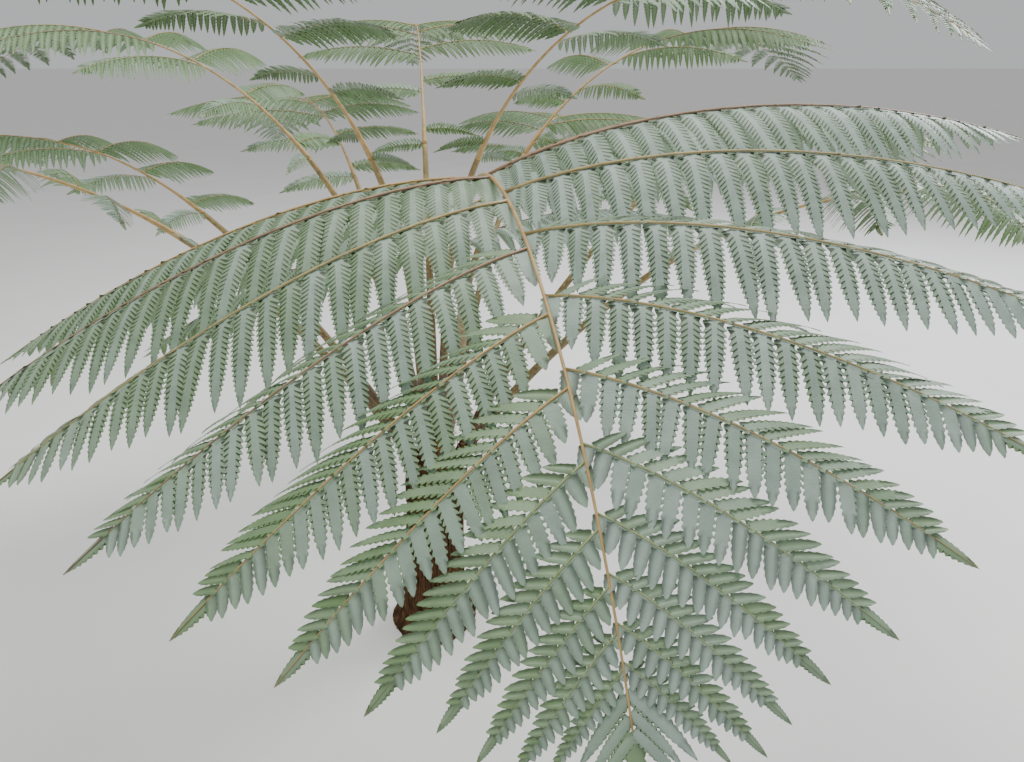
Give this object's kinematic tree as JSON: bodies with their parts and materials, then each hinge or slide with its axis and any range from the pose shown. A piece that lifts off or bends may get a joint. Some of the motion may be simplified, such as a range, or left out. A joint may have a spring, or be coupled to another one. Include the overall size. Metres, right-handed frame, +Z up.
{
  "type": "tree fern",
  "caption": "Rooted tree fern with a short fibrous trunk, long bare stalks and tiers of arching, finely divided fronds that droop at their tips.",
  "frame": {"origin": "middle of the flat cut under the trunk, at ground level", "axes": "+Z up; -Y toward the viewer, the way the frond of the picture hangs; +X to the viewer's right"},
  "size_m": [2.8466, 3.011, 1.6722],
  "materials": {
    "bark": "rough, fibrous, dark brown",
    "stalk": "satin, straw to olive brown",
    "leaf": "satin, grey-green with a pale bloom"
  },
  "bodies": {
    "root": {"trunk": "bark", "frond_01_stipe": "stalk", "frond_01_inner": "leaf", "frond_01_outer": "leaf", "frond_02_stipe": "stalk", "frond_02_inner": "leaf", "frond_02_outer": "leaf", "frond_03_stipe": "stalk", "frond_03_inner": "leaf", "frond_03_outer": "leaf", "frond_04_stipe": "stalk", "frond_04_inner": "leaf", "frond_04_outer": "leaf", "frond_05_stipe": "stalk", "frond_05_inner": "leaf", "frond_05_outer": "leaf", "frond_06_stipe": "stalk", "frond_06_inner": "leaf", "frond_06_outer": "leaf", "frond_07_stipe": "stalk", "frond_07_inner": "leaf", "frond_07_outer": "leaf", "frond_08_stipe": "stalk", "frond_08_inner": "leaf", "frond_08_outer": "leaf", "frond_09_stipe": "stalk", "frond_09_inner": "leaf", "frond_09_outer": "leaf", "frond_10_stipe": "stalk", "frond_10_inner": "leaf", "frond_10_outer": "leaf", "frond_11_stipe": "stalk", "frond_11_inner": "leaf", "frond_11_outer": "leaf", "frond_12_stipe": "stalk", "frond_12_inner": "leaf", "frond_12_outer": "leaf"}
  },
  "joints": []
}
